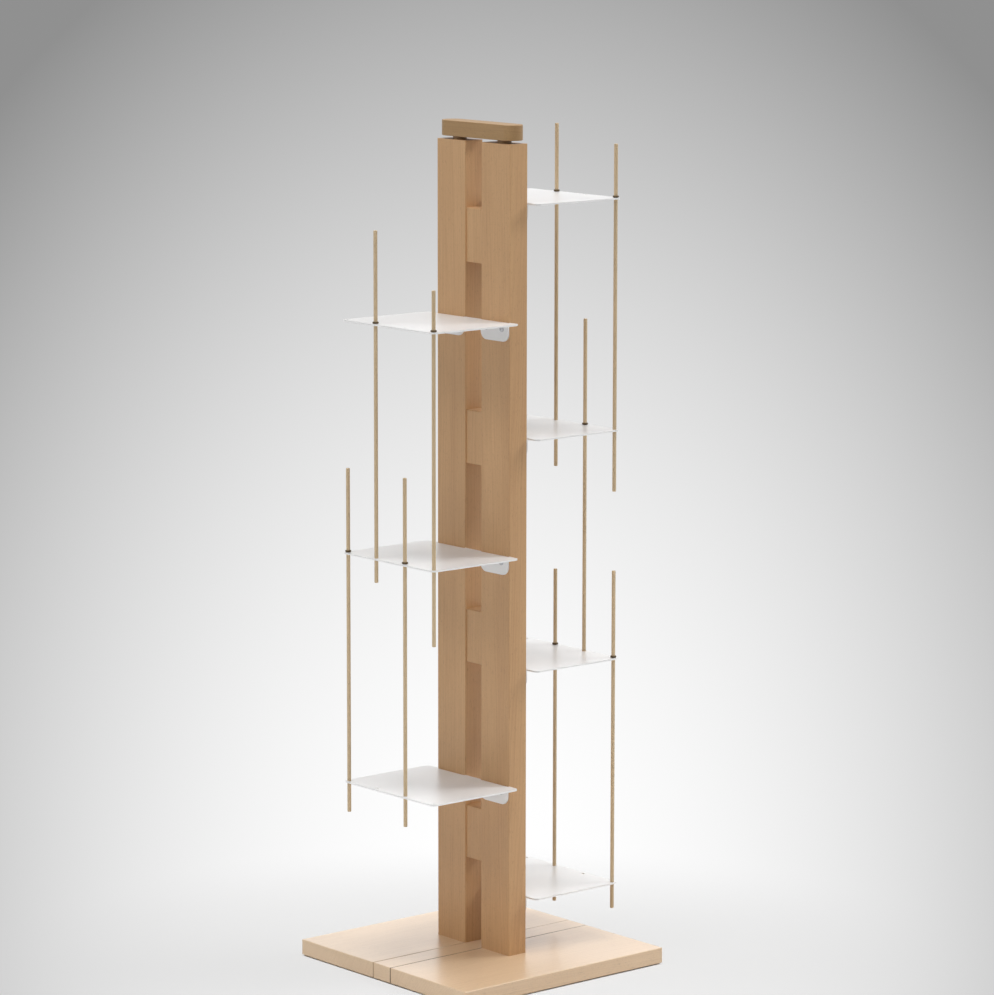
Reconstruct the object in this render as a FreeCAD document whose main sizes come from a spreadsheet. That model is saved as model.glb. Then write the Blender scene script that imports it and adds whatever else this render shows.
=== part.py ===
import FreeCAD, Part
import os
import Sketcher

# A free-standing column bookcase that carries thin sheet-metal shelves on both of its broad faces.
#
# Two upright beech posts stand side by side on a square beech base. Spacer blocks keep a slot open between
# them, and a cap with round ends closes the top. Each shelf is one bent sheet: two tabs hang down from its
# inner edge and are screwed to the posts. The shelves of the left face and of the right face are half a
# pitch out of step. Loose beech rods pass through the holes along the outer edges of two shelves, one above
# the other, and keep the books in. A rubber ring on each rod rests on the upper of its two shelves, so the
# rod can be lifted in its holes.
#
# Frame: +Z is up and z = 0 is the floor. The column stands on the Z axis, its broad faces look along -X
# (left) and +X (right), and its front edge looks along -Y. All sizes are in millimetres.

DOCUMENT = "column_bookcase"
OUTPUT_FOLDER = "parts"

# Two places closer than this are the same place.
TOLERANCE = 1e-4

SIZES = (
    # base
    ("base_side", 335.0),
    ("base_thickness", 20.0),
    ("base_strip_width", 35.0),
    ("base_edge_round", 1.2),
    ("base_joint_bevel", 1.0),
    ("pad_diameter", 32.0),
    ("pad_thickness", 2.0),
    ("pad_inset", 32.0),
    # column
    ("post_width", 56.0),
    ("post_thickness", 29.0),
    ("post_height", 1050.0),
    ("post_edge_round", 1.0),
    ("slot_width", 32.0),
    ("spacer_height", 70.0),
    ("spacer_setback", 2.0),
    ("spacer_edge_bevel", 1.0),
    ("first_spacer_level", 150.0),
    ("last_spacer_drop", 120.0),
    ("spacer_count", 4),
    # cap
    ("cap_gap", 4.0),
    ("cap_thickness", 20.0),
    ("cap_edge_round", 1.2),
    ("cap_washer_diameter", 18.0),
    # dowels
    ("dowel_diameter", 8.0),
    ("dowel_depth", 20.0),
    ("dowel_end_bevel", 0.8),
    ("cap_dowel_depth", 14.0),
    ("spacer_dowel_pitch", 36.0),
    ("base_dowel_pitch", 85.0),
    ("base_dowel_count", 4),
    # bolts that hold the column to the base
    ("bolt_diameter", 6.0),
    ("bolt_head_diameter", 10.0),
    ("bolt_head_height", 6.0),
    ("bolt_socket_width", 5.0),
    ("bolt_socket_depth", 3.0),
    ("bolt_pitch", 30.0),
    ("bolt_clearance", 0.25),
    ("bolt_washer_diameter", 12.0),
    ("bolt_washer_thickness", 1.6),
    ("counterbore_diameter", 14.0),
    ("counterbore_depth", 8.0),
    ("insert_diameter", 10.0),
    ("insert_length", 20.0),
    # shelves
    ("shelf_depth", 142.0),
    ("shelf_width", 184.0),
    ("shelf_corner_round", 7.0),
    ("sheet_thickness", 2.0),
    ("bend_inner_radius", 1.0),
    ("relief_width", 1.5),
    ("tab_width", 54.0),
    ("tab_height", 25.0),
    ("tab_corner_round", 11.0),
    ("hole_inset", 5.5),
    ("hole_count", 4),
    ("first_shelf_level", 75.0),
    ("last_shelf_drop", 75.0),
    ("right_shelf_count", 4),
    # screws that hold the tabs to the posts
    ("screw_diameter", 3.5),
    ("screw_length", 14.0),
    ("screw_tip_bevel", 1.2),
    ("screw_head_diameter", 7.0),
    ("screw_head_height", 2.2),
    ("screw_head_round", 1.2),
    ("screw_socket_width", 2.5),
    ("screw_socket_depth", 1.2),
    ("screw_hole_clearance", 0.25),
    ("screw_drop", 9.0),
    ("screw_pitch", 30.0),
    # rods and their rings
    ("rod_diameter", 5.0),
    ("rod_length", 450.0),
    ("rod_end_round", 0.8),
    ("rod_clearance", 0.09),
    ("ring_width", 1.5),
    ("ring_height", 2.4),
    ("ring_round", 1.1),
    ("ring_rest_gap", 0.3),
    # how far each rod reaches below the top of its lower shelf
    ("drop_left_upper_1", 98.0),
    ("drop_left_upper_3", 32.0),
    ("drop_left_lower_2", 40.0),
    ("drop_left_lower_4", 41.0),
    ("drop_right_upper_1", 81.0),
    ("drop_right_upper_3", 61.0),
    ("drop_right_middle_2", 11.0),
    ("drop_right_lower_1", 35.0),
    ("drop_right_lower_3", 48.0),
)

# The bays of each side from the bottom up: each lies between two shelves.
BAYS = {"left": ("lower", "upper"), "right": ("lower", "middle", "upper")}

# The rods, each named by its side, its bay and its hole, counted from the front edge.
ROD_NAMES = (
    "left_upper_1",
    "left_upper_3",
    "left_lower_2",
    "left_lower_4",
    "right_upper_1",
    "right_upper_3",
    "right_middle_2",
    "right_lower_1",
    "right_lower_3",
)

# The right side is modelled as it stands and the left side is the same, turned half round.
SIDE_TURN = {"left": 180.0, "right": 0.0}
SIDE_SIGN = {"left": "-", "right": ""}

# Places and sizes that several pieces share, as expressions of the sheet.
BASE_TOP = "(Sizes.pad_thickness + Sizes.base_thickness)"
BASE_HALF = "(Sizes.base_side / 2)"
STRIP_HALF = "(Sizes.base_strip_width / 2)"
PAD_PLACE = "(Sizes.base_side / 2 - Sizes.pad_inset)"
FACE = "(Sizes.post_thickness / 2)"
SLOT_HALF = "(Sizes.slot_width / 2)"
POST_HALF = "(Sizes.post_width / 2)"
POST_CENTRE = "((Sizes.slot_width + Sizes.post_width) / 2)"
COLUMN_HALF = "(Sizes.slot_width / 2 + Sizes.post_width)"
COLUMN_TOP = f"({BASE_TOP} + Sizes.post_height)"
BOLT_HOLE = "(Sizes.bolt_diameter + 2 * Sizes.bolt_clearance)"
BOLT_SEAT = "(Sizes.pad_thickness + Sizes.counterbore_depth - Sizes.bolt_washer_thickness)"
BASE_DOWEL_FIRST = "(-Sizes.base_dowel_pitch * (Sizes.base_dowel_count - 1) / 2)"
BASE_DOWEL_LEVEL = "(Sizes.base_thickness / 2)"
TAB_FRONT = f"({FACE} + Sizes.sheet_thickness)"
SHELF_HALF = "(Sizes.shelf_width / 2)"
SHELF_END = f"({FACE} + Sizes.shelf_depth)"
BEND_OUTER = "(Sizes.bend_inner_radius + Sizes.sheet_thickness)"
RELIEF_END = f"({FACE} + {BEND_OUTER} + Sizes.relief_width)"
RELIEF_HALF = "(Sizes.tab_width / 2 + Sizes.relief_width)"
HOLE_LINE = f"({SHELF_END} - Sizes.hole_inset)"
HOLE_FIRST = f"(-{SHELF_HALF} + Sizes.hole_inset)"
HOLE_PITCH = "((Sizes.shelf_width - 2 * Sizes.hole_inset) / (Sizes.hole_count - 1))"
ROD_HOLE = "(Sizes.rod_diameter + 2 * Sizes.rod_clearance)"
SPACER_SPREAD = "(Sizes.post_height - Sizes.first_spacer_level - Sizes.last_spacer_drop)"
SPACER_PITCH = f"({SPACER_SPREAD} / (Sizes.spacer_count - 1))"
SHELF_SPREAD = "(Sizes.post_height - Sizes.first_shelf_level - Sizes.last_shelf_drop)"
SHELF_PITCH = f"({SHELF_SPREAD} / (Sizes.right_shelf_count - 1))"
RING_DIAMETER = "(Sizes.rod_diameter + 2 * Sizes.ring_width)"
SCREW_HOLE = "(Sizes.screw_diameter + 2 * Sizes.screw_hole_clearance)"

# The left shelves are half a pitch out of step with the right ones, so there is one fewer of them.
FIRST_SHELF = {"left": f"(Sizes.first_shelf_level + {SHELF_PITCH} / 2)", "right": "Sizes.first_shelf_level"}
SHELF_COUNT = {"left": "(Sizes.right_shelf_count - 1)", "right": "Sizes.right_shelf_count"}

doc = FreeCAD.newDocument(DOCUMENT)
sheet = doc.addObject("Spreadsheet::Sheet", "Sizes")


def fill_sheet():
    """Write every size into a row of the sheet, with its alias."""
    for row, (alias, number) in enumerate(SIZES, start=1):
        sheet.set(f"A{row}", alias)
        sheet.set(f"B{row}", str(number))
        sheet.setAlias(f"B{row}", alias)
    doc.recompute()


def value(expression):
    """The number that an expression of the sheet has now."""
    return float(sheet.evalExpression(expression))


def add_body(label, x="0", y="0", z="0", turn=0.0):
    """A body that is turned about Z and placed by expressions."""
    body = doc.addObject("PartDesign::Body", label)
    body.Label = label
    body.Placement = FreeCAD.Placement(FreeCAD.Vector(), FreeCAD.Rotation(FreeCAD.Vector(0, 0, 1), turn))
    body.setExpression("Placement.Base.x", x)
    body.setExpression("Placement.Base.y", y)
    body.setExpression("Placement.Base.z", z)
    return body


def origin_feature(body, role):
    """The plane or axis of the body's own origin that has this role."""
    return next(item for item in body.Origin.OriginFeatures if item.Role == role)


def add_sketch(body, name, plane, offset="0"):
    """A sketch parallel to one of the body's origin planes, offset along that plane's normal."""
    sketch = body.newObject("Sketcher::SketchObject", f"{body.Name}_{name}")
    sketch.AttachmentSupport = [(origin_feature(body, plane), "")]
    sketch.MapMode = "FlatFace"
    sketch.setExpression("AttachmentOffset.Base.z", offset)
    return sketch


def constrain(sketch, kind, elements, expression):
    """Add one dimension and bind it to the sheet."""
    index = sketch.addConstraint(Sketcher.Constraint(kind, *elements, value(expression)))
    name = f"size{index}"
    sketch.renameConstraint(index, name)
    sketch.setExpression(f"Constraints.{name}", expression)


def place_point(sketch, element, point, x, y):
    """Put one point of the sketch at (x, y), counted from the sketch's origin."""
    constrain(sketch, "DistanceX", (-1, 1, element, point), x)
    constrain(sketch, "DistanceY", (-1, 1, element, point), y)


def add_circle(sketch, x, y, diameter):
    """A full circle about (x, y)."""
    centre = FreeCAD.Vector(value(x), value(y), 0)
    radius = value(diameter) / 2
    circle = sketch.addGeometry(Part.Circle(centre, FreeCAD.Vector(0, 0, 1), radius), False)
    place_point(sketch, circle, 3, x, y)
    constrain(sketch, "Diameter", (circle,), diameter)


def add_outline(sketch, corners):
    """A closed outline of straight lines through the corners, in order."""
    points = [FreeCAD.Vector(value(x), value(y), 0) for x, y in corners]
    ends = points[1:] + points[:1]
    lines = [sketch.addGeometry(Part.LineSegment(*pair), False) for pair in zip(points, ends)]
    for line, following in zip(lines, lines[1:] + lines[:1]):
        sketch.addConstraint(Sketcher.Constraint("Coincident", line, 2, following, 1))
    for line, (x, y) in zip(lines, corners):
        place_point(sketch, line, 1, x, y)


def add_rectangle(sketch, left, right, bottom, top):
    """A rectangle between two places along x and two along y."""
    add_outline(sketch, ((left, bottom), (right, bottom), (right, top), (left, top)))


def add_hexagon(sketch, x, y, width):
    """A hexagon about (x, y) with that width across its flats, two of which look along x."""
    half = f"{width} / 2"
    near = f"{width} / (2 * sqrt(3))"
    far = f"{width} / sqrt(3)"
    offsets = ((half, near), ("0", far), (f"-{half}", near), (f"-{half}", f"-{near}"), ("0", f"-{far}"),
               (half, f"-{near}"))
    add_outline(sketch, [(f"{x} + ({across})", f"{y} + ({along})") for across, along in offsets])


def finish_feature(body, feature):
    """Recompute and make the new feature the body's tip."""
    body.Tip = feature
    doc.recompute()
    return feature


def add_pad(body, sketch, length, symmetric=False, reverse=False):
    """Extrude the sketch along its normal, or half each way."""
    pad = body.newObject("PartDesign::Pad", f"{sketch.Name}_pad")
    pad.Profile = sketch
    pad.SideType = "Symmetric" if symmetric else "One side"
    pad.Reversed = reverse
    pad.setExpression("Length", length)
    return finish_feature(body, pad)


def add_pocket(body, sketch, length, reverse=False, symmetric=False):
    """Cut the sketch out against its normal, or along it when reversed, and see that it cut something."""
    volume = body.Shape.Volume
    pocket = body.newObject("PartDesign::Pocket", f"{sketch.Name}_pocket")
    pocket.Profile = sketch
    pocket.SideType = "Symmetric" if symmetric else "One side"
    pocket.Reversed = reverse
    pocket.setExpression("Length", length)
    finish_feature(body, pocket)
    if body.Shape.Volume >= volume:
        raise ValueError(f"{pocket.Name} cuts nothing")
    return pocket


def add_row(body, axis, spacing, count, feature=None):
    """Repeat one feature, or the whole body with its dressed edges, along one of the body's axes."""
    pattern = body.newObject("PartDesign::LinearPattern", f"{body.Name}_row")
    if feature:
        pattern.Originals = [feature]
    else:
        pattern.TransformMode = "Whole shape"
    pattern.Direction = (origin_feature(body, axis), [""])
    pattern.Mode = "Spacing"
    pattern.setExpression("Offset", spacing)
    pattern.setExpression("Occurrences", count)
    return finish_feature(body, pattern)


def add_dressing(body, kind, radius, choose):
    """A Fillet or Chamfer on the edges that choose picks, in the body's own frame."""
    base = body.Tip
    edges = [f"Edge{number}" for number, edge in enumerate(base.Shape.Edges, start=1) if choose(edge)]
    if not edges:
        raise ValueError(f"{body.Name}: no edge to dress")
    dressing = body.newObject(f"PartDesign::{kind}", f"{body.Name}_{kind.lower()}")
    dressing.Base = (base, edges)
    dressing.setExpression("Radius" if kind == "Fillet" else "Size", radius)
    return finish_feature(body, dressing)


def is_close(first, second):
    """Whether two lengths are the same but for rounding."""
    return abs(first - second) < TOLERANCE


def is_round(edge):
    """Whether the edge is a circle."""
    return edge.Curve.TypeId == "Part::GeomCircle"


def runs_along(edge, axis):
    """Whether a straight edge is parallel to the axis 0, 1 or 2."""
    if edge.Curve.TypeId != "Part::GeomLine":
        return False
    return is_close(abs(edge.tangentAt(edge.FirstParameter)[axis]), 1.0)


def lies_at(edge, axis, place):
    """Whether the whole edge lies at that place along the axis 0, 1 or 2."""
    box = edge.BoundBox
    low = (box.XMin, box.YMin, box.ZMin)[axis]
    high = (box.XMax, box.YMax, box.ZMax)[axis]
    return is_close(low, place) and is_close(high, place)


def make_base_board(label, turn):
    """One of the two broad boards of the base. It is modelled as the front one and turned for the rear."""
    body = add_body(label, z="Sizes.pad_thickness", turn=turn)
    outline = add_sketch(body, "outline", "XY_Plane")
    add_rectangle(outline, f"-{BASE_HALF}", BASE_HALF, f"-{BASE_HALF}", f"-{STRIP_HALF}")
    add_pad(body, outline, "Sizes.base_thickness")
    half = value(BASE_HALF)
    joint = -value(STRIP_HALF)
    top = value("Sizes.base_thickness")

    def is_outer(edge):
        at_side = lies_at(edge, 0, -half) or lies_at(edge, 0, half)
        at_front = lies_at(edge, 1, -half)
        return (at_side and at_front) or (lies_at(edge, 2, top) and (at_side or at_front))

    def is_joint(edge):
        return lies_at(edge, 1, joint) and not lies_at(edge, 2, 0.0)

    add_dressing(body, "Fillet", "Sizes.base_edge_round", is_outer)
    add_dressing(body, "Chamfer", "Sizes.base_joint_bevel", is_joint)
    bolts = add_sketch(body, "bolt_holes", "XY_Plane")
    heads = add_sketch(body, "counterbores", "XY_Plane")
    for side in ("-", "+"):
        y = f"-{POST_CENTRE} {side} Sizes.bolt_pitch / 2"
        add_circle(bolts, "0", y, BOLT_HOLE)
        add_circle(heads, "0", y, "Sizes.counterbore_diameter")
    add_pocket(body, bolts, "Sizes.base_thickness", reverse=True)
    add_pocket(body, heads, "Sizes.counterbore_depth", reverse=True)
    dowels = add_sketch(body, "dowel_hole", "XZ_Plane")
    add_circle(dowels, BASE_DOWEL_FIRST, BASE_DOWEL_LEVEL, "Sizes.dowel_diameter")
    hole = add_pocket(body, dowels, f"{STRIP_HALF} + Sizes.dowel_depth", reverse=True)
    add_row(body, "X_Axis", "Sizes.base_dowel_pitch", "Sizes.base_dowel_count", hole)


def make_base_strip():
    """The narrow strip between the two boards, in line with the slot of the column."""
    body = add_body("base_centre_strip", z="Sizes.pad_thickness")
    outline = add_sketch(body, "outline", "XY_Plane")
    add_rectangle(outline, f"-{BASE_HALF}", BASE_HALF, f"-{STRIP_HALF}", STRIP_HALF)
    add_pad(body, outline, "Sizes.base_thickness")
    half = value(BASE_HALF)
    joint = value(STRIP_HALF)
    top = value("Sizes.base_thickness")

    def is_end(edge):
        return lies_at(edge, 2, top) and (lies_at(edge, 0, -half) or lies_at(edge, 0, half))

    def is_joint(edge):
        beside = lies_at(edge, 1, -joint) or lies_at(edge, 1, joint)
        return beside and not lies_at(edge, 2, 0.0)

    add_dressing(body, "Fillet", "Sizes.base_edge_round", is_end)
    add_dressing(body, "Chamfer", "Sizes.base_joint_bevel", is_joint)
    dowels = add_sketch(body, "dowel_hole", "XZ_Plane")
    add_circle(dowels, BASE_DOWEL_FIRST, BASE_DOWEL_LEVEL, "Sizes.dowel_diameter")
    hole = add_pocket(body, dowels, "Sizes.base_strip_width", symmetric=True)
    add_row(body, "X_Axis", "Sizes.base_dowel_pitch", "Sizes.base_dowel_count", hole)


def make_base_dowels():
    """Dowels that run through the strip into both boards."""
    body = add_body("base_dowels", z="Sizes.pad_thickness")
    section = add_sketch(body, "section", "XZ_Plane")
    add_circle(section, BASE_DOWEL_FIRST, BASE_DOWEL_LEVEL, "Sizes.dowel_diameter")
    add_pad(body, section, "Sizes.base_strip_width + 2 * Sizes.dowel_depth", symmetric=True)
    add_dressing(body, "Chamfer", "Sizes.dowel_end_bevel", is_round)
    add_row(body, "X_Axis", "Sizes.base_dowel_pitch", "Sizes.base_dowel_count")


def make_pads():
    """Felt pads under the corners of the base."""
    body = add_body("felt_pads")
    outline = add_sketch(body, "outline", "XY_Plane")
    for x in (f"-{PAD_PLACE}", PAD_PLACE):
        for y in (f"-{PAD_PLACE}", PAD_PLACE):
            add_circle(outline, x, y, "Sizes.pad_diameter")
    add_pad(body, outline, "Sizes.pad_thickness")


def make_post(label, side):
    """One upright of the column. side is the sign of its place along Y."""
    body = add_body(label, y=f"{side}{POST_CENTRE}", z=BASE_TOP)
    outline = add_sketch(body, "outline", "XY_Plane")
    add_rectangle(outline, f"-{FACE}", FACE, f"-{POST_HALF}", POST_HALF)
    add_pad(body, outline, "Sizes.post_height")
    add_dressing(body, "Fillet", "Sizes.post_edge_round", lambda edge: runs_along(edge, 2))

    inserts = add_sketch(body, "insert_holes", "XY_Plane")
    for offset in ("-Sizes.bolt_pitch / 2", "Sizes.bolt_pitch / 2"):
        add_circle(inserts, "0", offset, "Sizes.insert_diameter")
    add_pocket(body, inserts, "Sizes.insert_length", reverse=True)

    cap_hole = add_sketch(body, "cap_dowel_hole", "XY_Plane", "Sizes.post_height")
    add_circle(cap_hole, "0", "0", "Sizes.dowel_diameter")
    add_pocket(body, cap_hole, "Sizes.cap_dowel_depth")

    toward_front = side == "+"
    inner_face = POST_HALF if toward_front else f"-{POST_HALF}"
    dowels = add_sketch(body, "spacer_dowel_holes", "XZ_Plane", inner_face)
    for offset in ("-", "+"):
        level = f"Sizes.first_spacer_level {offset} Sizes.spacer_dowel_pitch / 2"
        add_circle(dowels, "0", level, "Sizes.dowel_diameter")
    holes = add_pocket(body, dowels, "Sizes.dowel_depth", reverse=not toward_front)
    add_row(body, "Z_Axis", SPACER_PITCH, "Sizes.spacer_count", holes)

    for face, offset in (("left", f"-{FACE}"), ("right", FACE)):
        screws = add_sketch(body, f"{face}_screw_holes", "YZ_Plane", offset)
        level = f"{FIRST_SHELF[face]} - Sizes.screw_drop"
        for place in ("-Sizes.screw_pitch / 2", "Sizes.screw_pitch / 2"):
            add_circle(screws, place, level, "Sizes.screw_diameter")
        holes = add_pocket(body, screws, "Sizes.screw_length", reverse=face == "left")
        add_row(body, "Z_Axis", SHELF_PITCH, SHELF_COUNT[face], holes)


def make_spacer(number):
    """A block between the two posts, set back a little from both broad faces."""
    level = f"{BASE_TOP} + Sizes.first_spacer_level + {number - 1} * {SPACER_PITCH}"
    body = add_body(f"spacer_block_{number}", z=f"{level} - Sizes.spacer_height / 2")
    outline = add_sketch(body, "outline", "XY_Plane")
    across = f"({FACE} - Sizes.spacer_setback)"
    add_rectangle(outline, f"-{across}", across, f"-{SLOT_HALF}", SLOT_HALF)
    add_pad(body, outline, "Sizes.spacer_height")
    limit = value(across)

    def is_outer(edge):
        return runs_along(edge, 1) and (lies_at(edge, 0, -limit) or lies_at(edge, 0, limit))

    add_dressing(body, "Chamfer", "Sizes.spacer_edge_bevel", is_outer)
    dowels = add_sketch(body, "dowel_holes", "XZ_Plane")
    for offset in ("-", "+"):
        height = f"(Sizes.spacer_height {offset} Sizes.spacer_dowel_pitch) / 2"
        add_circle(dowels, "0", height, "Sizes.dowel_diameter")
    add_pocket(body, dowels, "Sizes.slot_width", symmetric=True)


def make_spacer_dowels():
    """Two dowels through each spacer block into both posts."""
    body = add_body("spacer_dowels", z=f"{BASE_TOP} + Sizes.first_spacer_level")
    section = add_sketch(body, "section", "XZ_Plane")
    for height in ("-Sizes.spacer_dowel_pitch / 2", "Sizes.spacer_dowel_pitch / 2"):
        add_circle(section, "0", height, "Sizes.dowel_diameter")
    add_pad(body, section, "Sizes.slot_width + 2 * Sizes.dowel_depth", symmetric=True)
    add_dressing(body, "Chamfer", "Sizes.dowel_end_bevel", is_round)
    add_row(body, "Z_Axis", SPACER_PITCH, "Sizes.spacer_count")


def make_cap():
    """The cap: as wide and as thick as the column, with half-round ends."""
    body = add_body("cap", z=f"{COLUMN_TOP} + Sizes.cap_gap")
    end_centre = f"({COLUMN_HALF} - {FACE})"
    middle = add_sketch(body, "middle", "XY_Plane")
    add_rectangle(middle, f"-{FACE}", FACE, f"-{end_centre}", end_centre)
    add_pad(body, middle, "Sizes.cap_thickness")
    ends = add_sketch(body, "ends", "XY_Plane")
    for y in (f"-{end_centre}", end_centre):
        add_circle(ends, "0", y, "Sizes.post_thickness")
    add_pad(body, ends, "Sizes.cap_thickness")
    top = value("Sizes.cap_thickness")
    add_dressing(body, "Fillet", "Sizes.cap_edge_round",
                 lambda edge: lies_at(edge, 2, 0.0) or lies_at(edge, 2, top))
    dowels = add_sketch(body, "dowel_holes", "XY_Plane")
    for y in (f"-{POST_CENTRE}", POST_CENTRE):
        add_circle(dowels, "0", y, "Sizes.dowel_diameter")
    add_pocket(body, dowels, "Sizes.cap_dowel_depth", reverse=True)


def make_cap_washers():
    """Turned washers that hold the cap clear of the posts."""
    body = add_body("cap_washers", z=COLUMN_TOP)
    outline = add_sketch(body, "outline", "XY_Plane")
    for y in (f"-{POST_CENTRE}", POST_CENTRE):
        add_circle(outline, "0", y, "Sizes.cap_washer_diameter")
        add_circle(outline, "0", y, "Sizes.dowel_diameter")
    add_pad(body, outline, "Sizes.cap_gap")


def make_cap_dowels():
    """Dowels from the posts through the washers into the cap."""
    body = add_body("cap_dowels", z=f"{COLUMN_TOP} - Sizes.cap_dowel_depth")
    section = add_sketch(body, "section", "XY_Plane")
    for y in (f"-{POST_CENTRE}", POST_CENTRE):
        add_circle(section, "0", y, "Sizes.dowel_diameter")
    add_pad(body, section, "2 * Sizes.cap_dowel_depth + Sizes.cap_gap")
    add_dressing(body, "Chamfer", "Sizes.dowel_end_bevel", is_round)


def fastener_places(pitch):
    """Places along Y of four fasteners: two at each post, that pitch apart."""
    return [f"{post} * {POST_CENTRE} + {end} * {pitch} / 2" for post in (-1, 1) for end in (-1, 1)]


def make_bolts():
    """Socket-head bolts that come up through the base into the posts."""
    body = add_body("column_bolts", z=BOLT_SEAT)
    heads = add_sketch(body, "heads", "XY_Plane")
    shanks = add_sketch(body, "shanks", "XY_Plane")
    sockets = add_sketch(body, "sockets", "XY_Plane", "-Sizes.bolt_head_height")
    for y in fastener_places("Sizes.bolt_pitch"):
        add_circle(heads, "0", y, "Sizes.bolt_head_diameter")
        add_circle(shanks, "0", y, "Sizes.bolt_diameter")
        add_hexagon(sockets, "0", y, "Sizes.bolt_socket_width")
    add_pad(body, heads, "Sizes.bolt_head_height", reverse=True)
    add_pad(body, shanks, f"{BASE_TOP} + Sizes.insert_length - {BOLT_SEAT}")
    add_pocket(body, sockets, "Sizes.bolt_socket_depth", reverse=True)


def make_tubes(label, z, outer, inner, length):
    """Four plain tubes on the bolts: the washers or the inserts."""
    body = add_body(label, z=z)
    outline = add_sketch(body, "outline", "XY_Plane")
    for y in fastener_places("Sizes.bolt_pitch"):
        add_circle(outline, "0", y, outer)
        add_circle(outline, "0", y, inner)
    add_pad(body, outline, length)


def make_shelf(side, number):
    """A shelf: a sheet with two tabs bent down and four holes for rods. Its top is at its level."""
    label = f"shelf_{side}_{number}"
    level = f"{BASE_TOP} + {FIRST_SHELF[side]} + {number - 1} * {SHELF_PITCH}"
    body = add_body(label, z=level, turn=SIDE_TURN[side])
    plate = add_sketch(body, "plate", "XY_Plane")
    add_rectangle(plate, FACE, SHELF_END, f"-{SHELF_HALF}", SHELF_HALF)
    add_pad(body, plate, "Sizes.sheet_thickness", reverse=True)
    add_dressing(body, "Fillet", "Sizes.shelf_corner_round", lambda edge: runs_along(edge, 2))

    reliefs = add_sketch(body, "reliefs", "XY_Plane")
    for centre in (f"-{POST_CENTRE}", POST_CENTRE):
        add_rectangle(reliefs, FACE, RELIEF_END, f"{centre} - {RELIEF_HALF}", f"{centre} + {RELIEF_HALF}")
    add_pocket(body, reliefs, "Sizes.sheet_thickness")

    for number, centre in enumerate((POST_CENTRE, f"-{POST_CENTRE}"), start=1):
        profile = add_sketch(body, f"tab_{number}", "XZ_Plane", centre)
        add_outline(profile, (
            (RELIEF_END, "0"),
            (FACE, "0"),
            (FACE, "-Sizes.tab_height"),
            (TAB_FRONT, "-Sizes.tab_height"),
            (TAB_FRONT, "-Sizes.sheet_thickness"),
            (RELIEF_END, "-Sizes.sheet_thickness"),
        ))
        add_pad(body, profile, "Sizes.tab_width", symmetric=True)

    back = value(FACE)
    front = value(TAB_FRONT)
    thickness = value("Sizes.sheet_thickness")
    foot = -value("Sizes.tab_height")
    middle = value(POST_CENTRE)
    reach = value("Sizes.tab_width / 2")

    def is_on_tab(edge):
        return abs(abs(edge.BoundBox.Center.y) - middle) < reach

    def is_tab_corner(edge):
        return runs_along(edge, 0) and lies_at(edge, 2, foot)

    def is_outer_bend(edge):
        return runs_along(edge, 1) and is_on_tab(edge) and lies_at(edge, 0, back) and lies_at(edge, 2, 0.0)

    def is_inner_bend(edge):
        return runs_along(edge, 1) and lies_at(edge, 0, front) and lies_at(edge, 2, -thickness)

    add_dressing(body, "Fillet", "Sizes.tab_corner_round", is_tab_corner)
    add_dressing(body, "Fillet", BEND_OUTER, is_outer_bend)
    add_dressing(body, "Fillet", "Sizes.bend_inner_radius", is_inner_bend)

    screws = add_sketch(body, "screw_holes", "YZ_Plane", TAB_FRONT)
    for y in fastener_places("Sizes.screw_pitch"):
        add_circle(screws, y, "-Sizes.screw_drop", SCREW_HOLE)
    add_pocket(body, screws, "Sizes.sheet_thickness")

    rod_hole = add_sketch(body, "rod_hole", "XY_Plane")
    add_circle(rod_hole, HOLE_LINE, HOLE_FIRST, ROD_HOLE)
    hole = add_pocket(body, rod_hole, "Sizes.sheet_thickness")
    add_row(body, "Y_Axis", HOLE_PITCH, "Sizes.hole_count", hole)


def make_screws(side):
    """The screws of every shelf on one side: two through each tab into the post behind it."""
    level = f"{BASE_TOP} + {FIRST_SHELF[side]} - Sizes.screw_drop"
    body = add_body(f"shelf_screws_{side}", z=level, turn=SIDE_TURN[side])
    heads = add_sketch(body, "heads", "YZ_Plane", TAB_FRONT)
    shanks = add_sketch(body, "shanks", "YZ_Plane", TAB_FRONT)
    sockets = add_sketch(body, "sockets", "YZ_Plane", f"{TAB_FRONT} + Sizes.screw_head_height")
    for y in fastener_places("Sizes.screw_pitch"):
        add_circle(heads, y, "0", "Sizes.screw_head_diameter")
        add_circle(shanks, y, "0", "Sizes.screw_diameter")
        add_hexagon(sockets, y, "0", "Sizes.screw_socket_width")
    add_pad(body, heads, "Sizes.screw_head_height")
    crown = value(f"{TAB_FRONT} + Sizes.screw_head_height")
    add_dressing(body, "Fillet", "Sizes.screw_head_round", lambda edge: lies_at(edge, 0, crown))
    add_pad(body, shanks, "Sizes.screw_length", reverse=True)
    tip = value(f"{TAB_FRONT} - Sizes.screw_length")
    add_dressing(body, "Chamfer", "Sizes.screw_tip_bevel", lambda edge: lies_at(edge, 0, tip))
    add_pocket(body, sockets, "Sizes.screw_socket_depth")
    add_row(body, "Z_Axis", SHELF_PITCH, SHELF_COUNT[side])


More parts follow.
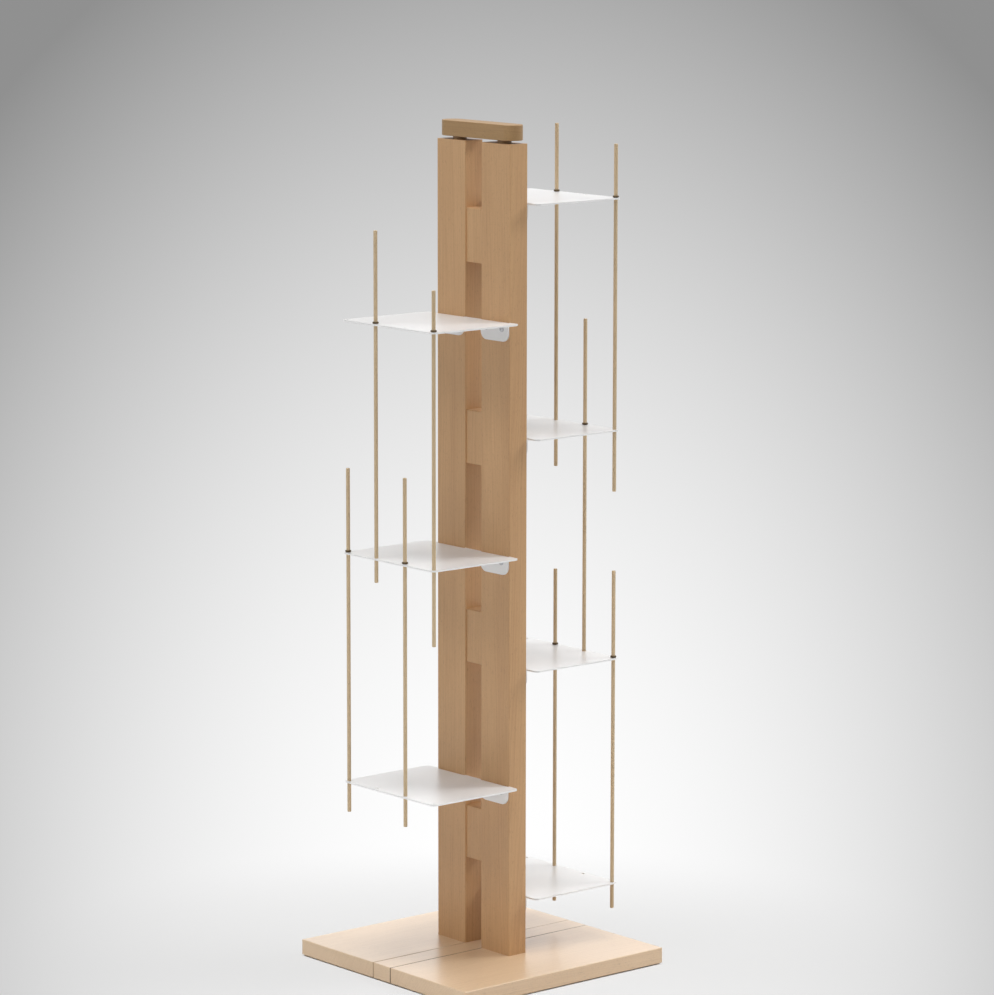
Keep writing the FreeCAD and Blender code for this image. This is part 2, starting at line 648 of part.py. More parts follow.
def make_rod(name):
    """A rod through the two shelves of its bay, and the ring on it that rests on the upper one."""
    side, bay, hole = name.split("_")
    x = f"{SIDE_SIGN[side]}{HOLE_LINE}"
    y = f"{HOLE_FIRST} + {int(hole) - 1} * {HOLE_PITCH}"
    lower_level = f"{BASE_TOP} + {FIRST_SHELF[side]} + {BAYS[side].index(bay)} * {SHELF_PITCH}"

    rod = add_body(f"rod_{name}", x, y, f"{lower_level} - Sizes.drop_{name}")
    section = add_sketch(rod, "section", "XY_Plane")
    add_circle(section, "0", "0", "Sizes.rod_diameter")
    add_pad(rod, section, "Sizes.rod_length")
    add_dressing(rod, "Fillet", "Sizes.rod_end_round", is_round)

    ring = add_body(f"ring_{name}", x, y, f"{lower_level} + {SHELF_PITCH} + Sizes.ring_rest_gap")
    section = add_sketch(ring, "section", "XY_Plane")
    add_circle(section, "0", "0", RING_DIAMETER)
    add_circle(section, "0", "0", "Sizes.rod_diameter")
    add_pad(ring, section, "Sizes.ring_height")
    outer = value(RING_DIAMETER) / 2
    add_dressing(ring, "Fillet", "Sizes.ring_round",
                 lambda edge: is_round(edge) and is_close(edge.Curve.Radius, outer))


def build():
    """Build every piece of the bookcase."""
    fill_sheet()
    make_pads()
    make_base_board("base_board_front", 0.0)
    make_base_board("base_board_rear", 180.0)
    make_base_strip()
    make_base_dowels()
    make_post("post_front", "-")
    make_post("post_rear", "+")
    for number in range(1, round(value("Sizes.spacer_count")) + 1):
        make_spacer(number)
    make_spacer_dowels()
    make_bolts()
    make_tubes("bolt_washers", BOLT_SEAT, "Sizes.bolt_washer_diameter", BOLT_HOLE,
               "Sizes.bolt_washer_thickness")
    make_tubes("threaded_inserts", BASE_TOP, "Sizes.insert_diameter", "Sizes.bolt_diameter",
               "Sizes.insert_length")
    make_cap_washers()
    make_cap_dowels()
    make_cap()
    for side in SIDE_TURN:
        for number in range(1, round(value(SHELF_COUNT[side])) + 1):
            make_shelf(side, number)
        make_screws(side)
    for name in ROD_NAMES:
        make_rod(name)


def check(bodies):
    """Stop if any object failed, or if a piece has no valid shape."""
    failed = [item.Name for item in doc.Objects if {"Invalid", "Error"} & set(item.State)]
    if failed:
        raise RuntimeError(f"failed objects: {failed}")
    for body in bodies:
        if body.Shape.isNull() or not body.Shape.isValid():
            raise RuntimeError(f"{body.Label} has no valid shape")


def write(bodies):
    """Write one STEP file for each piece."""
    os.makedirs(OUTPUT_FOLDER, exist_ok=True)
    for body in bodies:
        body.Shape.exportStep(os.path.join(OUTPUT_FOLDER, f"{body.Label}.step"))


build()
doc.recompute()
pieces = [item for item in doc.Objects if item.TypeId == "PartDesign::Body"]
check(pieces)
write(pieces)
print(f"{len(pieces)} pieces, {sum(len(piece.Shape.Solids) for piece in pieces)} solids")
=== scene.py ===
import math

import bpy
from mathutils import Matrix, Vector


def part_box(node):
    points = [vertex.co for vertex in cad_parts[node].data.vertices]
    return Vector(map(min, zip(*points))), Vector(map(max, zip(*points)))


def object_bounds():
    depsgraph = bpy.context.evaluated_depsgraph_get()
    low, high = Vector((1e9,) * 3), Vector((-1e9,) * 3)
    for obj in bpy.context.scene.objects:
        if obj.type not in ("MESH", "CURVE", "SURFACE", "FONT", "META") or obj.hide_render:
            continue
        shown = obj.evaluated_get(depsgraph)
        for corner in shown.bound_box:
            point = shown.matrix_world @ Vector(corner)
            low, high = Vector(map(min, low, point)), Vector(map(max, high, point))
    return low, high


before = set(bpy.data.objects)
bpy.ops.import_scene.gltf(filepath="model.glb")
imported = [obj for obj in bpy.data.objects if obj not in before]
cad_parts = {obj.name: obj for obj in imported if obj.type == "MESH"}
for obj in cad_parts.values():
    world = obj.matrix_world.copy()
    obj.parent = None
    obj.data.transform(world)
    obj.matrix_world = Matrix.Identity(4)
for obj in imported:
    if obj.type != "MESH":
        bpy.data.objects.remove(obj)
cad_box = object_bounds()

MM = 0.001

# ---------------------------------------------------------------- camera
# Where the photograph's camera stands round the column, and how long its lens is.
CAMERA_AZIMUTH = math.radians(-40.24)
CAMERA_ELEVATION = math.radians(9.142)
CAMERA_ROLL = math.radians(0.07)
CAMERA_DISTANCE = 5.558
CAMERA_LENS_MM = 156.39
CAMERA_CLIP = (0.1, 100.0)
SENSOR_WIDTH_MM = 36.0
TARGET_HEIGHT = 0.613
TARGET_SIDE = 0.0195


def camera_axes():
    """The camera's right, up and back directions."""
    level = math.cos(CAMERA_ELEVATION)
    back = Vector((math.sin(CAMERA_AZIMUTH) * level, -math.cos(CAMERA_AZIMUTH) * level,
                   math.sin(CAMERA_ELEVATION)))
    right = Vector((0, 0, 1)).cross(back).normalized()
    up = back.cross(right)
    turn = Matrix.Rotation(CAMERA_ROLL, 3, back)
    return turn @ right, turn @ up, back


def make_camera():
    """The camera at the photograph's viewing angle."""
    right, up, back = camera_axes()
    place = Vector((0, 0, TARGET_HEIGHT)) + TARGET_SIDE * right + CAMERA_DISTANCE * back
    data = bpy.data.cameras.new("camera")
    data.sensor_fit = "HORIZONTAL"
    data.sensor_width = SENSOR_WIDTH_MM
    data.lens = CAMERA_LENS_MM
    data.clip_start, data.clip_end = CAMERA_CLIP
    camera = bpy.data.objects.new("camera", data)
    camera.matrix_world = Matrix.Translation(place) @ Matrix((right, up, back)).transposed().to_4x4()
    bpy.context.scene.collection.objects.link(camera)
    bpy.context.scene.camera = camera


# ---------------------------------------------------------------- nodes
# The levels between which nearly all of a noise lies, and the greater part of it.
NOISE_RANGE = (0.2, 0.8)
NOISE_MIDDLE = (0.3, 0.7)


def linear(red, green, blue):
    """A colour given as 0 to 255 display values, as the shaders want it."""
    def channel(level):
        part = level / 255
        return part / 12.92 if part <= 0.04045 else ((part + 0.055) / 1.055) ** 2.4
    return channel(red), channel(green), channel(blue), 1.0


def darker(colour, share):
    """The colour at that share of its brightness."""
    return tuple(share * part for part in colour[:3]) + (1.0,)


def set_or_link(tree, socket, given):
    """Link an output to the socket, or set the socket's value."""
    if isinstance(given, bpy.types.NodeSocket):
        tree.links.new(given, socket)
    else:
        socket.default_value = given


def add(tree, kind, inputs=None, **settings):
    """Add a node, set it up, and link or set the inputs that are given by name or number."""
    node = tree.nodes.new(kind)
    for key, setting in settings.items():
        setattr(node, key, setting)
    for key, given in (inputs or {}).items():
        set_or_link(tree, node.inputs[key], given)
    return node


def calc(tree, operation, first, second=0.0, third=0.0, clamp=False):
    """The result of a Math node."""
    return add(tree, "ShaderNodeMath", {0: first, 1: second, 2: third}, operation=operation,
               use_clamp=clamp).outputs[0]


def vector_calc(tree, operation, first, second=None, output="Vector"):
    """The result of a Vector Math node."""
    inputs = {0: first} if second is None else {0: first, 1: second}
    return add(tree, "ShaderNodeVectorMath", inputs, operation=operation).outputs[output]


def part_of(tree, vector, axis):
    """One of a vector's three parts."""
    return add(tree, "ShaderNodeSeparateXYZ", {"Vector": vector}).outputs[axis]


def noise(tree, vector, scale, detail, roughness=0.5):
    """A noise value from 0 to 1."""
    inputs = {"Vector": vector, "Scale": scale, "Detail": detail, "Roughness": roughness}
    return add(tree, "ShaderNodeTexNoise", inputs).outputs[0]


def grain_noise(tree, vector, scales, detail, roughness=0.5):
    """A noise value, drawn out in the grain's direction, Z. scales are across and along it, per metre."""
    across, along = scales
    inputs = {"Vector": vector, "Scale": (across, across, along)}
    stretched = add(tree, "ShaderNodeMapping", inputs).outputs[0]
    return noise(tree, stretched, 1.0, detail, roughness)


def remap(tree, value, low, high, new_low=0.0, new_high=1.0, interpolation_type="LINEAR"):
    """The value spread from one range over another and kept inside it."""
    inputs = {"Value": value, "From Min": low, "From Max": high, "To Min": new_low, "To Max": new_high}
    return add(tree, "ShaderNodeMapRange", inputs, interpolation_type=interpolation_type).outputs[0]


def blend(tree, share, first, second):
    """Two colours mixed by a share from 0 to 1."""
    node = add(tree, "ShaderNodeMix", data_type="RGBA")
    for number, given in ((0, share), (6, first), (7, second)):
        set_or_link(tree, node.inputs[number], given)
    return node.outputs[2]


def bump(tree, height, distance, strength):
    """A bump normal from a height from 0 to 1."""
    inputs = {"Height": height, "Distance": distance, "Strength": strength}
    return add(tree, "ShaderNodeBump", inputs).outputs[0]


def start_material(name):
    """An empty material and its node tree."""
    material = bpy.data.materials.new(name)
    material.use_nodes = True
    material.node_tree.nodes.clear()
    return material, material.node_tree


def surface(tree, colour, roughness, normal, **more):
    """The Principled shader and the output. more gives further sockets, with _ for a space."""
    inputs = {"Base Color": colour, "Roughness": roughness}
    inputs.update({key.replace("_", " "): given for key, given in more.items()})
    inputs["Normal"] = normal
    shader = add(tree, "ShaderNodeBsdfPrincipled", inputs)
    add(tree, "ShaderNodeOutputMaterial", {"Surface": shader.outputs[0]})


def object_coordinates(tree):
    """Places in metres, in the object's frame."""
    return add(tree, "ShaderNodeTexCoord").outputs["Object"]


# ---------------------------------------------------------------- beech
# Turns that bring the grain's direction onto Z.
GRAIN_TURN = {"X": (0, math.pi / 2, 0), "Y": (math.pi / 2, 0, 0), "Z": (0, 0, 0)}
# The log never lies quite along the piece, which draws the rings out into long arches.
LOG_LEAN = (math.radians(0.9), math.radians(-1.3), 0)

# The growth rings: how wide a year is, how far the rings wander and at what scales, and at what scale and by
# how many years they crowd together and spread out along the radius.
RING_WIDTH = 3.6 * MM
RING_WANDER = 22 * MM
RING_WANDER_SCALES = (9.0, 2.2)
RING_UNEVEN_SCALE = 55.0
RING_UNEVEN_YEARS = 4.0
# How sharply the late wood darkens at a year's end, how dark it is in the poorest year, and how much more in
# the best.
LATE_WOOD_POWER = 3.0
LATE_WOOD_LEAST = 0.3
LATE_WOOD_MORE = 0.8

# The scales of each pattern across and along the grain, per metre.
FIBRE_SCALES = (650.0, 9.0)
PORE_SCALES = (2600.0, 90.0)
DASH_SCALES = (1150.0, 170.0)
FLECK_SCALES = (250.0, 700.0)
TONE_SCALES = (16.0, 1.6)
# The noise levels between which each pattern goes from none to full.
FIBRE_LEVELS = NOISE_MIDDLE
PORE_LEVELS = (0.52, 0.72)
DASH_LEVELS = (0.64, 0.74)
FLECK_LEVELS = (0.60, 0.66)
TONE_LEVELS = (0.28, 0.72)
# How squarely a face looks away from the heart to be flat-sawn, and along the grain to be end grain.
FLAT_SAWN_LEVELS = (0.35, 0.8)
END_GRAIN_LEVELS = (0.6, 0.95)

# How far each pattern takes the colour towards the dark one, or the dashes and flecks to the rays' colour.
LATE_WOOD_SHARE = 0.34
FIBRE_SHARE = 0.26
TONE_SHARE = 0.46
PORE_SHARE = 0.16
DASH_SHARE = 0.42
FLECK_SHARE = 0.13
RAY_DARK = 0.62

# The relief: shares of the fibres, pores and dashes in it, its depth, and how strongly it shows.
FIBRE_HEIGHT = 0.5
PORE_HEIGHT = 0.5
DASH_DEPTH = 0.3
FINE_RELIEF = {"distance": 0.05 * MM, "strength": 0.5}
WOOD_ROUGHNESS = (0.42, 0.56)
FLECK_POLISH = -0.12

# Where the painted shade and dust in a bevelled joint begin to fade and end, away from its middle, how dark
# they are, and how much of them the rear joint has.
JOINT_EDGE = (0.7 * MM, 1.1 * MM)
JOINT_DARK = 0.3
REAR_JOINT = 0.45


def growth_rings(tree, log, across):
    """The distance from the heart, wandering along the grain, and the share of late wood there.

    Good years leave a darker line than poor ones.
    """
    wander = grain_noise(tree, log, RING_WANDER_SCALES, 2.0)
    radius = vector_calc(tree, "LENGTH", across, output="Value")
    radius = calc(tree, "MULTIPLY_ADD", wander, RING_WANDER, radius)
    uneven = add(tree, "ShaderNodeTexNoise", {"W": radius, "Scale": RING_UNEVEN_SCALE, "Detail": 1.0},
                 noise_dimensions="1D").outputs[0]
    years = calc(tree, "ADD", calc(tree, "DIVIDE", radius, RING_WIDTH),
                 calc(tree, "MULTIPLY", uneven, RING_UNEVEN_YEARS))
    year = calc(tree, "FLOOR", years)
    harvest = add(tree, "ShaderNodeTexWhiteNoise", {"W": year}, noise_dimensions="1D").outputs["Value"]
    late_wood = calc(tree, "POWER", calc(tree, "SUBTRACT", years, year), LATE_WOOD_POWER)
    harvest = calc(tree, "MULTIPLY_ADD", harvest, LATE_WOOD_MORE, LATE_WOOD_LEAST)
    return radius, calc(tree, "MULTIPLY", late_wood, harvest)


def ray_flecks(tree, log, across, radius, facing, end_grain):
    """The broad flecks of the rays, which only a quarter-sawn face shows."""
    fleck_across, fleck_along = FLECK_SCALES
    along = part_of(tree, log, "Z")
    place = add(tree, "ShaderNodeCombineXYZ", {"X": calc(tree, "MULTIPLY", radius, fleck_across),
                                               "Y": calc(tree, "MULTIPLY", along, fleck_along)}).outputs[0]
    flecks = remap(tree, noise(tree, place, 1.0, 1.0), *FLECK_LEVELS)
    outwards = vector_calc(tree, "NORMALIZE", across)
    flat_sawn = calc(tree, "ABSOLUTE", vector_calc(tree, "DOT_PRODUCT", facing, outwards, "Value"))
    flat_sawn = remap(tree, flat_sawn, *FLAT_SAWN_LEVELS)
    quarter_sawn = calc(tree, "SUBTRACT", calc(tree, "SUBTRACT", 1.0, flat_sawn), end_grain, clamp=True)
    return calc(tree, "MULTIPLY", flecks, quarter_sawn)


def joint_shade(tree, place, joint):
    """The painted shade and dust of the joints: 1 in the front joint, less in the rear one, 0 elsewhere.
    joint is their distance from the axis.
    """
    side = part_of(tree, place, "Y")
    beside = calc(tree, "ABSOLUTE", calc(tree, "SUBTRACT", calc(tree, "ABSOLUTE", side), joint))
    shade = remap(tree, beside, *JOINT_EDGE, 1.0, 0.0)
    return calc(tree, "MULTIPLY", shade, remap(tree, side, -joint, joint, 1.0, REAR_JOINT))


def beech(name, pale, dark, grain, heart, coat=0.25, coat_roughness=0.40, end_share=0.18, joint=None):
    """Steamed beech under clear lacquer.

    heart is the log's centre, across the grain, from the object's origin. end_share is how far the ends of
    the fibres go towards the dark colour. joint is how far two bevelled joints lie from the axis, along Y.
    """
    material, tree = start_material(name)
    coordinates = add(tree, "ShaderNodeTexCoord")
    turn = {"Rotation": GRAIN_TURN[grain]}
    place = add(tree, "ShaderNodeMapping", {"Vector": coordinates.outputs["Object"], **turn}).outputs[0]
    facing = add(tree, "ShaderNodeMapping", {"Vector": coordinates.outputs["Normal"], **turn}).outputs[0]
    inputs = {"Vector": place, "Location": (*heart, sum(heart)), "Rotation": LOG_LEAN}
    log = add(tree, "ShaderNodeMapping", inputs).outputs[0]
    across = vector_calc(tree, "MULTIPLY", log, (1.0, 1.0, 0.0))

    radius, late_wood = growth_rings(tree, log, across)
    fibres = grain_noise(tree, log, FIBRE_SCALES, 4.0, 0.6)
    pores = grain_noise(tree, log, PORE_SCALES, 2.0, 0.6)
    tone = grain_noise(tree, log, TONE_SCALES, 3.0)
    end_grain = remap(tree, calc(tree, "ABSOLUTE", part_of(tree, facing, "Z")), *END_GRAIN_LEVELS)
    # The rays are short dark dashes on a flat-sawn face, and broad flecks on a quarter-sawn one.
    dashes = remap(tree, grain_noise(tree, log, DASH_SCALES, 1.0), *DASH_LEVELS)
    flecks = ray_flecks(tree, log, across, radius, facing, end_grain)

    share = calc(tree, "MULTIPLY", remap(tree, fibres, *FIBRE_LEVELS), FIBRE_SHARE)
    share = calc(tree, "MULTIPLY_ADD", late_wood, LATE_WOOD_SHARE, share)
    share = calc(tree, "MULTIPLY_ADD", remap(tree, tone, *TONE_LEVELS), TONE_SHARE, share)
    share = calc(tree, "MULTIPLY_ADD", end_grain, end_share, share)
    colour = blend(tree, calc(tree, "MINIMUM", share, 1.0), pale, dark)
    ray_colour = darker(dark, RAY_DARK)
    colour = blend(tree, calc(tree, "MULTIPLY", dashes, DASH_SHARE), colour, ray_colour)
    colour = blend(tree, calc(tree, "MULTIPLY", flecks, FLECK_SHARE), colour, ray_colour)
    colour = blend(tree, calc(tree, "MULTIPLY", remap(tree, pores, *PORE_LEVELS), PORE_SHARE), colour, dark)

    # Dust and painted shade darken the bevels of a joint, and take the lacquer's shine.
    if joint is not None:
        shade = joint_shade(tree, coordinates.outputs["Object"], joint)
        colour = blend(tree, shade, colour, darker(dark, JOINT_DARK))
        coat = calc(tree, "MULTIPLY", calc(tree, "SUBTRACT", 1.0, shade), coat)

    height = calc(tree, "ADD", calc(tree, "MULTIPLY", fibres, FIBRE_HEIGHT),
                  calc(tree, "MULTIPLY", pores, PORE_HEIGHT))
    height = calc(tree, "SUBTRACT", height, calc(tree, "MULTIPLY", dashes, DASH_DEPTH))
    roughness = remap(tree, fibres, *NOISE_RANGE, *WOOD_ROUGHNESS)
    roughness = calc(tree, "MULTIPLY_ADD", flecks, FLECK_POLISH, roughness)
    surface(tree, colour, roughness, bump(tree, height, **FINE_RELIEF), Coat_Weight=coat,
            Coat_Roughness=coat_roughness)
    return material


# ---------------------------------------------------------------- the other materials
# Noise scales, per metre.
PEEL_SCALE = 620.0
GRIT_SCALE = 2600.0
CLOUD_SCALE = 14.0
RUBBER_SCALE = 1800.0
FELT_FIBRE_SCALE = 1300.0
FELT_CLUMP_SCALE = 160.0
METAL_CLOUD_SCALE = 300.0
SCRATCH_SCALES = (3000.0, 300.0)

# The coat's relief is orange peel with a little grit.
PEEL_HEIGHT = 0.75
GRIT_HEIGHT = 0.25
COAT_ROUGHNESS = (0.34, 0.46)
# How white the painted highlight on a shelf's cut edges is, and where it begins, away from the axis along X.
EDGE_HIGHLIGHT_WHITE = linear(252, 252, 252)
PLATE_FROM = (19 * MM, 21 * MM)

RUBBER_ROUGHNESS = (0.55, 0.75)
FELT_CLUMPS = (0.5, 1.0)
FELT_RELIEF = {"distance": 0.3 * MM, "strength": 0.9}
FELT_ROUGHNESS = 0.95
METAL_RELIEF = {"distance": 0.02 * MM, "strength": 0.4}
# How much smoother and rougher than its mean the metal is.
METAL_SMOOTHER = 0.07
METAL_ROUGHER = 0.09


def powder_coat():
    """White powder coat with a fine orange peel."""
    material, tree = start_material("powder_coat")
    coordinates = add(tree, "ShaderNodeTexCoord")
    place = coordinates.outputs["Object"]
    peel = noise(tree, place, PEEL_SCALE, 2.0)
    grit = noise(tree, place, GRIT_SCALE, 2.0)
    tone = noise(tree, place, CLOUD_SCALE, 2.0)
    colour = blend(tree, remap(tree, tone, *NOISE_MIDDLE), linear(239, 239, 239), linear(233, 233, 234))

    # The plate's cut edges, away from the tabs, are painted whiter: a painted highlight of the light from
    # above on their rounded arrises, where the powder also lies thicker.
    facing = part_of(tree, coordinates.outputs["Normal"], "Z")
    edge_highlight = calc(tree, "SUBTRACT", 1.0, calc(tree, "ABSOLUTE", facing), clamp=True)
    reach = calc(tree, "ABSOLUTE", part_of(tree, place, "X"))
    edge_highlight = calc(tree, "MULTIPLY", edge_highlight, remap(tree, reach, *PLATE_FROM))
    colour = blend(tree, edge_highlight, colour, EDGE_HIGHLIGHT_WHITE)

    height = calc(tree, "ADD", calc(tree, "MULTIPLY", peel, PEEL_HEIGHT),
                  calc(tree, "MULTIPLY", grit, GRIT_HEIGHT))
    surface(tree, colour, remap(tree, grit, *NOISE_RANGE, *COAT_ROUGHNESS), bump(tree, height, **FINE_RELIEF),
            Coat_Weight=0.5, Coat_Roughness=0.3)
    return material


def rubber():
    """Matt dark rubber."""
    material, tree = start_material("rubber")
    grain = noise(tree, object_coordinates(tree), RUBBER_SCALE, 3.0)
    colour = blend(tree, grain, linear(75, 61, 37), linear(101, 83, 55))
    roughness = remap(tree, grain, *NOISE_RANGE, *RUBBER_ROUGHNESS)
    surface(tree, colour, roughness, bump(tree, grain, **FINE_RELIEF))
    return material


def felt():
    """Pressed wool felt: short fibres in every direction."""
    material, tree = start_material("felt")
    place = object_coordinates(tree)
    fibres = noise(tree, place, FELT_FIBRE_SCALE, 5.0, 0.7)
    clumps = noise(tree, place, FELT_CLUMP_SCALE, 2.0)
    share = calc(tree, "MULTIPLY", remap(tree, fibres, *NOISE_MIDDLE),
                 remap(tree, clumps, *NOISE_RANGE, *FELT_CLUMPS))
    colour = blend(tree, share, linear(84, 78, 71), linear(140, 132, 121))
    surface(tree, colour, FELT_ROUGHNESS, bump(tree, fibres, **FELT_RELIEF), Sheen_Weight=0.3)
    return material


def metal(name, pale, dark, roughness):
    """Plated or machined metal with fine scratches and a cloudy tone."""
    material, tree = start_material(name)
    place = object_coordinates(tree)
    clouds = noise(tree, place, METAL_CLOUD_SCALE, 3.0)
    scratches = grain_noise(tree, place, SCRATCH_SCALES, 2.0)
    colour = blend(tree, clouds, pale, dark)
    roughness = remap(tree, scratches, *NOISE_RANGE, roughness - METAL_SMOOTHER, roughness + METAL_ROUGHER)
    surface(tree, colour, roughness, bump(tree, scratches, **METAL_RELIEF), Metallic=1.0)
    return material


# ---------------------------------------------------------------- dressing
BASE_PALE, BASE_DARK = linear(232, 203, 168), linear(206, 172, 137)
POST_PALE, POST_DARK = linear(216, 174, 126), linear(184, 140, 96)
# The cap's colours are darker than the posts': partly the board's own tone, partly painted shade.
CAP_PALE, CAP_DARK = linear(180, 145, 99), linear(152, 117, 75)
ROD_PALE, ROD_DARK = linear(222, 198, 161), linear(194, 168, 131)

# Grain direction and heart of each wooden node; the heart decides how the rings cut its faces.
WOOD = {
    "base_board_front": (BASE_PALE, BASE_DARK, "X", (0.11, 0.21)),
    "base_board_rear": (BASE_PALE, BASE_DARK, "X", (-0.13, -0.27)),
    "base_centre_strip": (BASE_PALE, BASE_DARK, "X", (0.35, 0.08)),
    "post_front": (POST_PALE, POST_DARK, "Z", (0.07, 0.16)),
    "post_rear": (POST_PALE, POST_DARK, "Z", (-0.09, 0.12)),
    "cap": (CAP_PALE, CAP_DARK, "Y", (0.10, 0.13)),
    "cap_washers": (CAP_PALE, CAP_DARK, "Z", (0.05, 0.05)),
    "cap_dowels": (ROD_PALE, ROD_DARK, "Z", (0.04, 0.03)),
    "base_dowels": (ROD_PALE, ROD_DARK, "Y", (0.03, 0.05)),
    "spacer_dowels": (ROD_PALE, ROD_DARK, "Y", (0.02, 0.04)),
}
for number in range(1, 5):
    WOOD[f"spacer_block_{number}"] = (POST_PALE, POST_DARK, "Z", (0.03 * number, -0.09))

# The base carries a satin lacquer, and the cap hardly any. The base's ends are painted paler than end grain
# is:
# painted light.
BASE_LACQUER_AND_PAINTED_LIGHT = {"coat": 0.9, "coat_roughness": 0.28, "end_share": -0.25}
CAP_FINISH = {"coat": 0.08, "coat_roughness": 0.45}

# The pieces that meet in the base's two joints.
BASE_PIECES = ("base_board_front", "base_board_rear", "base_centre_strip")


def rod_heart(name):
    """Each rod is cut from another place of the log."""
    x, y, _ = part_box(name)[0]
    return 0.06 + x / 9, y / 3


def dress_nodes():
    """Give every CAD node its material."""
    coat, ring, pad = powder_coat(), rubber(), felt()
    zinc = metal("zinc_plate", linear(206, 207, 210), linear(182, 183, 188), 0.32)
    brass = metal("brass", linear(214, 184, 116), linear(190, 156, 92), 0.34)
    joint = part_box("base_centre_strip")[1][1]
    for name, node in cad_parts.items():
        if name in BASE_PIECES:
            material = beech(f"beech_{name}", *WOOD[name], joint=joint, **BASE_LACQUER_AND_PAINTED_LIGHT)
        elif name in WOOD:
            finish_and_painted_light = {"base_dowels": BASE_LACQUER_AND_PAINTED_LIGHT, "cap": CAP_FINISH}.get(name, {})
            material = beech(f"beech_{name}", *WOOD[name], **finish_and_painted_light)
        elif name.startswith("rod_"):
            material = beech(f"beech_{name}", ROD_PALE, ROD_DARK, "Z", rod_heart(name))
        elif name.startswith("shelf_screws") or name in ("column_bolts", "bolt_washers"):
            material = zinc
        elif name.startswith("shelf_"):
            material = coat
        elif name.startswith("ring_"):
            material = ring
        elif name == "felt_pads":
            material = pad
        else:
            material = brass
        node.data.materials.clear()
        node.data.materials.append(material)


# ---------------------------------------------------------------- stage and light
FLOOR_RADIUS = 3.0
FLOOR_CORNERS = 128
# The floor fades into the backdrop between these distances from the axis. Before that it is as clear as the
# veil says, and the backdrop shows through it darkened by a painted shade round the base, which lifts over
# the same distances.
FLOOR_FADE = (0.18, 0.66)
FLOOR_VEIL = 0.80
FLOOR_PAINTED_SHADE = 0.815
FLOOR_COLOUR = linear(243, 243, 243)
# Under the base the floor isn't clear at all. Its veil begins in the rim just inside the base's sides.
BASE_HALF = cad_box[1][0]
BASE_RIM = 2 * MM

# The backdrop outside the frame, and the light that it gives.
PALE = 0.95
AMBIENT = 0.27
AMBIENT_COLOUR = (1.0, 0.99, 0.97, 1.0)

# The pool of light on the backdrop, in half widths of the frame: its centre's height, its level, how it dims,
# and the least that it dims to.
POOL_HEIGHT = -0.896
POOL_LEVEL = 1.006
POOL_DIMS_ACROSS = 0.183
POOL_DIMS_UP = 0.091
BACKDROP_LEAST = 0.56
# Angles from the camera's axis between which the pool gives way to the pale backdrop.
POOL_INSIDE = math.radians(9.5)
POOL_OUTSIDE = math.radians(15)
# Keeps the pool's coordinates finite beside and behind the camera.
LEAST_AHEAD = 0.1
DISPLAY_GAMMA = 2.2

# Azimuth in degrees, height, distance, height of the aim, side, beam in degrees, watts.
LAMPS = {
    "soft_box_above": (0, 14.0, 0.05, 0.0, 6.0, 60, 105.0),
    "soft_box_front": (-40, 5.5, 3.2, 0.3, 2.5, 60, 5.0),
    "soft_box_left": (-95, 4.2, 4.2, 0.4, 2.0, 60, 6.9),
    "soft_box_right": (60, 4.2, 4.2, 0.4, 2.0, 60, 14.5),
    "soft_box_rear": (140, 0.42, 1.6, 0.12, 0.8, 110, 0.47),
}


def backdrop_colour(tree, direction):
    """The grey of the backdrop in a direction: darker upwards and to both sides, pale outside the frame."""
    right, up, back = camera_axes()
    ahead, aside, above = (vector_calc(tree, "DOT_PRODUCT", direction, axis, "Value")
                           for axis in (-back, right, up))
    half_width = SENSOR_WIDTH_MM / 2 / CAMERA_LENS_MM
    depth = calc(tree, "MULTIPLY", calc(tree, "MAXIMUM", ahead, LEAST_AHEAD), half_width)
    across = calc(tree, "DIVIDE", aside, depth)
    height = calc(tree, "SUBTRACT", calc(tree, "DIVIDE", above, depth), POOL_HEIGHT)
    grey = calc(tree, "MULTIPLY_ADD", calc(tree, "MULTIPLY", across, across), -POOL_DIMS_ACROSS, POOL_LEVEL)
    grey = calc(tree, "MULTIPLY_ADD", calc(tree, "MULTIPLY", height, height), -POOL_DIMS_UP, grey)
    grey = calc(tree, "MAXIMUM", grey, BACKDROP_LEAST)
    inside = remap(tree, ahead, math.cos(POOL_OUTSIDE), math.cos(POOL_INSIDE), 0.0, 1.0, "SMOOTHSTEP")
    grey = calc(tree, "ADD", calc(tree, "MULTIPLY", inside, grey),
                calc(tree, "MULTIPLY", calc(tree, "SUBTRACT", 1.0, inside), PALE))
    bright = calc(tree, "POWER", grey, DISPLAY_GAMMA)
    return add(tree, "ShaderNodeCombineColor", {0: bright, 1: bright, 2: bright}).outputs[0]


def seen(tree):
    """1 for the rays that show the background: camera, glossy and transmission rays."""
    path = add(tree, "ShaderNodeLightPath")
    rays = calc(tree, "MAXIMUM", path.outputs["Is Camera Ray"], path.outputs["Is Glossy Ray"])
    return calc(tree, "MAXIMUM", rays, path.outputs["Is Transmission Ray"])


def make_world():
    """A pale backdrop for the eye and an even soft light for the object."""
    world = bpy.data.worlds.new("studio")
    world.use_nodes = True
    tree = world.node_tree
    tree.nodes.clear()
    direction = add(tree, "ShaderNodeTexCoord").outputs["Generated"]
    shown = add(tree, "ShaderNodeBackground", {"Color": backdrop_colour(tree, direction), "Strength": 1.0})
    light = add(tree, "ShaderNodeBackground", {"Color": AMBIENT_COLOUR, "Strength": AMBIENT})
    mixed = add(tree, "ShaderNodeMixShader", {0: seen(tree), 1: light.outputs[0], 2: shown.outputs[0]})
    add(tree, "ShaderNodeOutputWorld", {"Surface": mixed.outputs[0]})
    bpy.context.scene.world = world


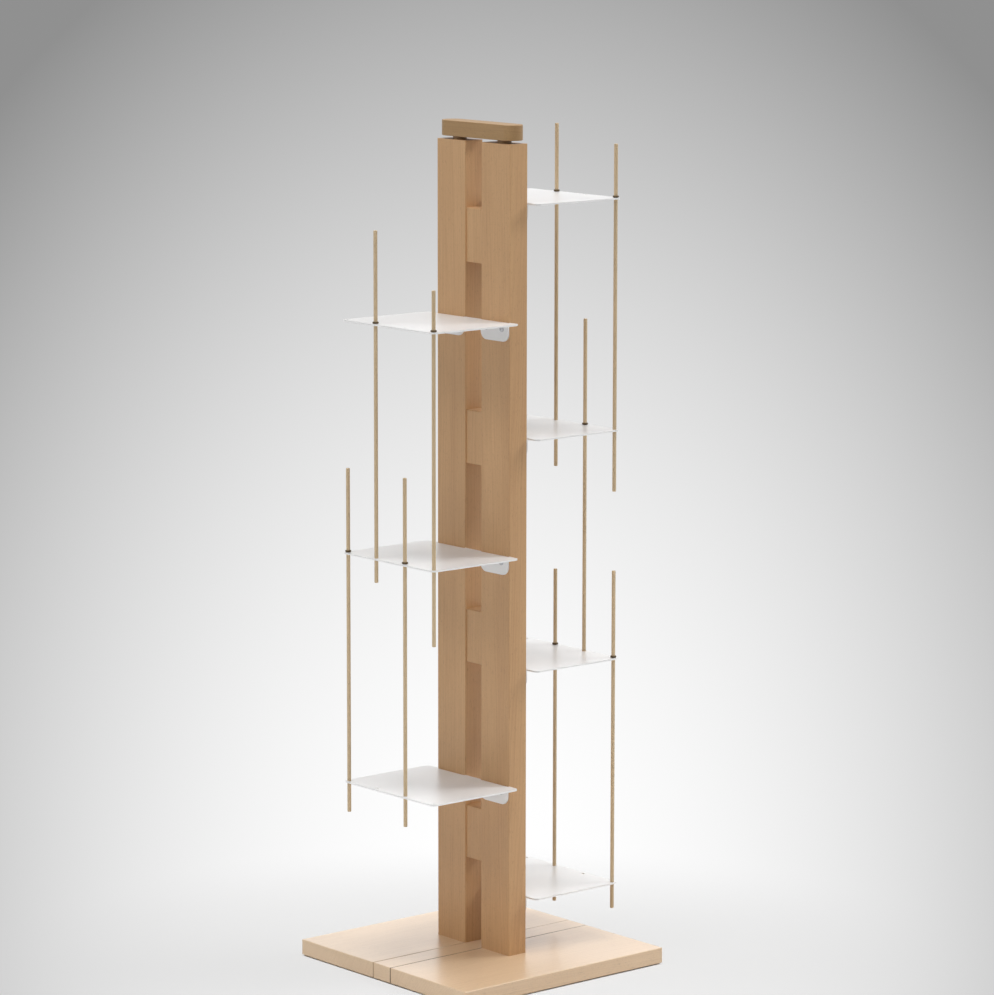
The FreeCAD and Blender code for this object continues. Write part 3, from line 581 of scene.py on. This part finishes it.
def floor_material():
    """Matt and pale, see-through towards the backdrop, for the rays that show the background only, with a
    painted shade round the base.
    """
    material, tree = start_material("floor")
    place = object_coordinates(tree)
    distance = vector_calc(tree, "LENGTH", place, output="Value")
    veil = remap(tree, distance, *FLOOR_FADE, FLOOR_VEIL, 1.0, "SMOOTHSTEP")
    sides = (calc(tree, "ABSOLUTE", part_of(tree, place, axis)) for axis in "XY")
    side = calc(tree, "MAXIMUM", *sides)
    veil = calc(tree, "MULTIPLY", veil, remap(tree, side, BASE_HALF - BASE_RIM, BASE_HALF))
    clear = calc(tree, "MULTIPLY", veil, seen(tree))
    # Painted shade: the backdrop seen through the floor is darker near the base.
    painted_shade = remap(tree, distance, *FLOOR_FADE, FLOOR_PAINTED_SHADE, 1.0, "SMOOTHSTEP")
    grey = add(tree, "ShaderNodeCombineColor", {0: painted_shade, 1: painted_shade, 2: painted_shade}).outputs[0]
    matt = add(tree, "ShaderNodeBsdfDiffuse", {"Color": FLOOR_COLOUR})
    gone = add(tree, "ShaderNodeBsdfTransparent", {"Color": grey})
    mixed = add(tree, "ShaderNodeMixShader", {0: clear, 1: matt.outputs[0], 2: gone.outputs[0]})
    add(tree, "ShaderNodeOutputMaterial", {"Surface": mixed.outputs[0]})
    return material


def make_floor():
    """A pale floor that fades into the backdrop a little way from the object."""
    bpy.ops.mesh.primitive_circle_add(vertices=FLOOR_CORNERS, radius=FLOOR_RADIUS, fill_type="NGON",
                                      location=(0, 0, 0))
    floor = bpy.context.object
    floor.name = "floor"
    floor.data.materials.append(floor_material())


def make_lamp(name, azimuth, height, distance, aim_height, side, beam, watts):
    """A square soft box at that azimuth and height, whose beam narrows about its aim on the column's axis."""
    turn = math.radians(azimuth)
    place = Vector((distance * math.sin(turn), -distance * math.cos(turn), height))
    data = bpy.data.lights.new(name, "AREA")
    data.shape = "SQUARE"
    data.size = side
    data.spread = math.radians(beam)
    data.energy = watts
    lamp = bpy.data.objects.new(name, data)
    lamp.location = place
    lamp.rotation_mode = "QUATERNION"
    lamp.rotation_quaternion = (place - Vector((0, 0, aim_height))).to_track_quat("Z", "Y")
    lamp.visible_camera = False
    bpy.context.scene.collection.objects.link(lamp)


scene = bpy.context.scene
scene.view_settings.view_transform = "Standard"
make_camera()
make_world()
make_floor()
for name, lamp in LAMPS.items():
    make_lamp(name, *lamp)
dress_nodes()
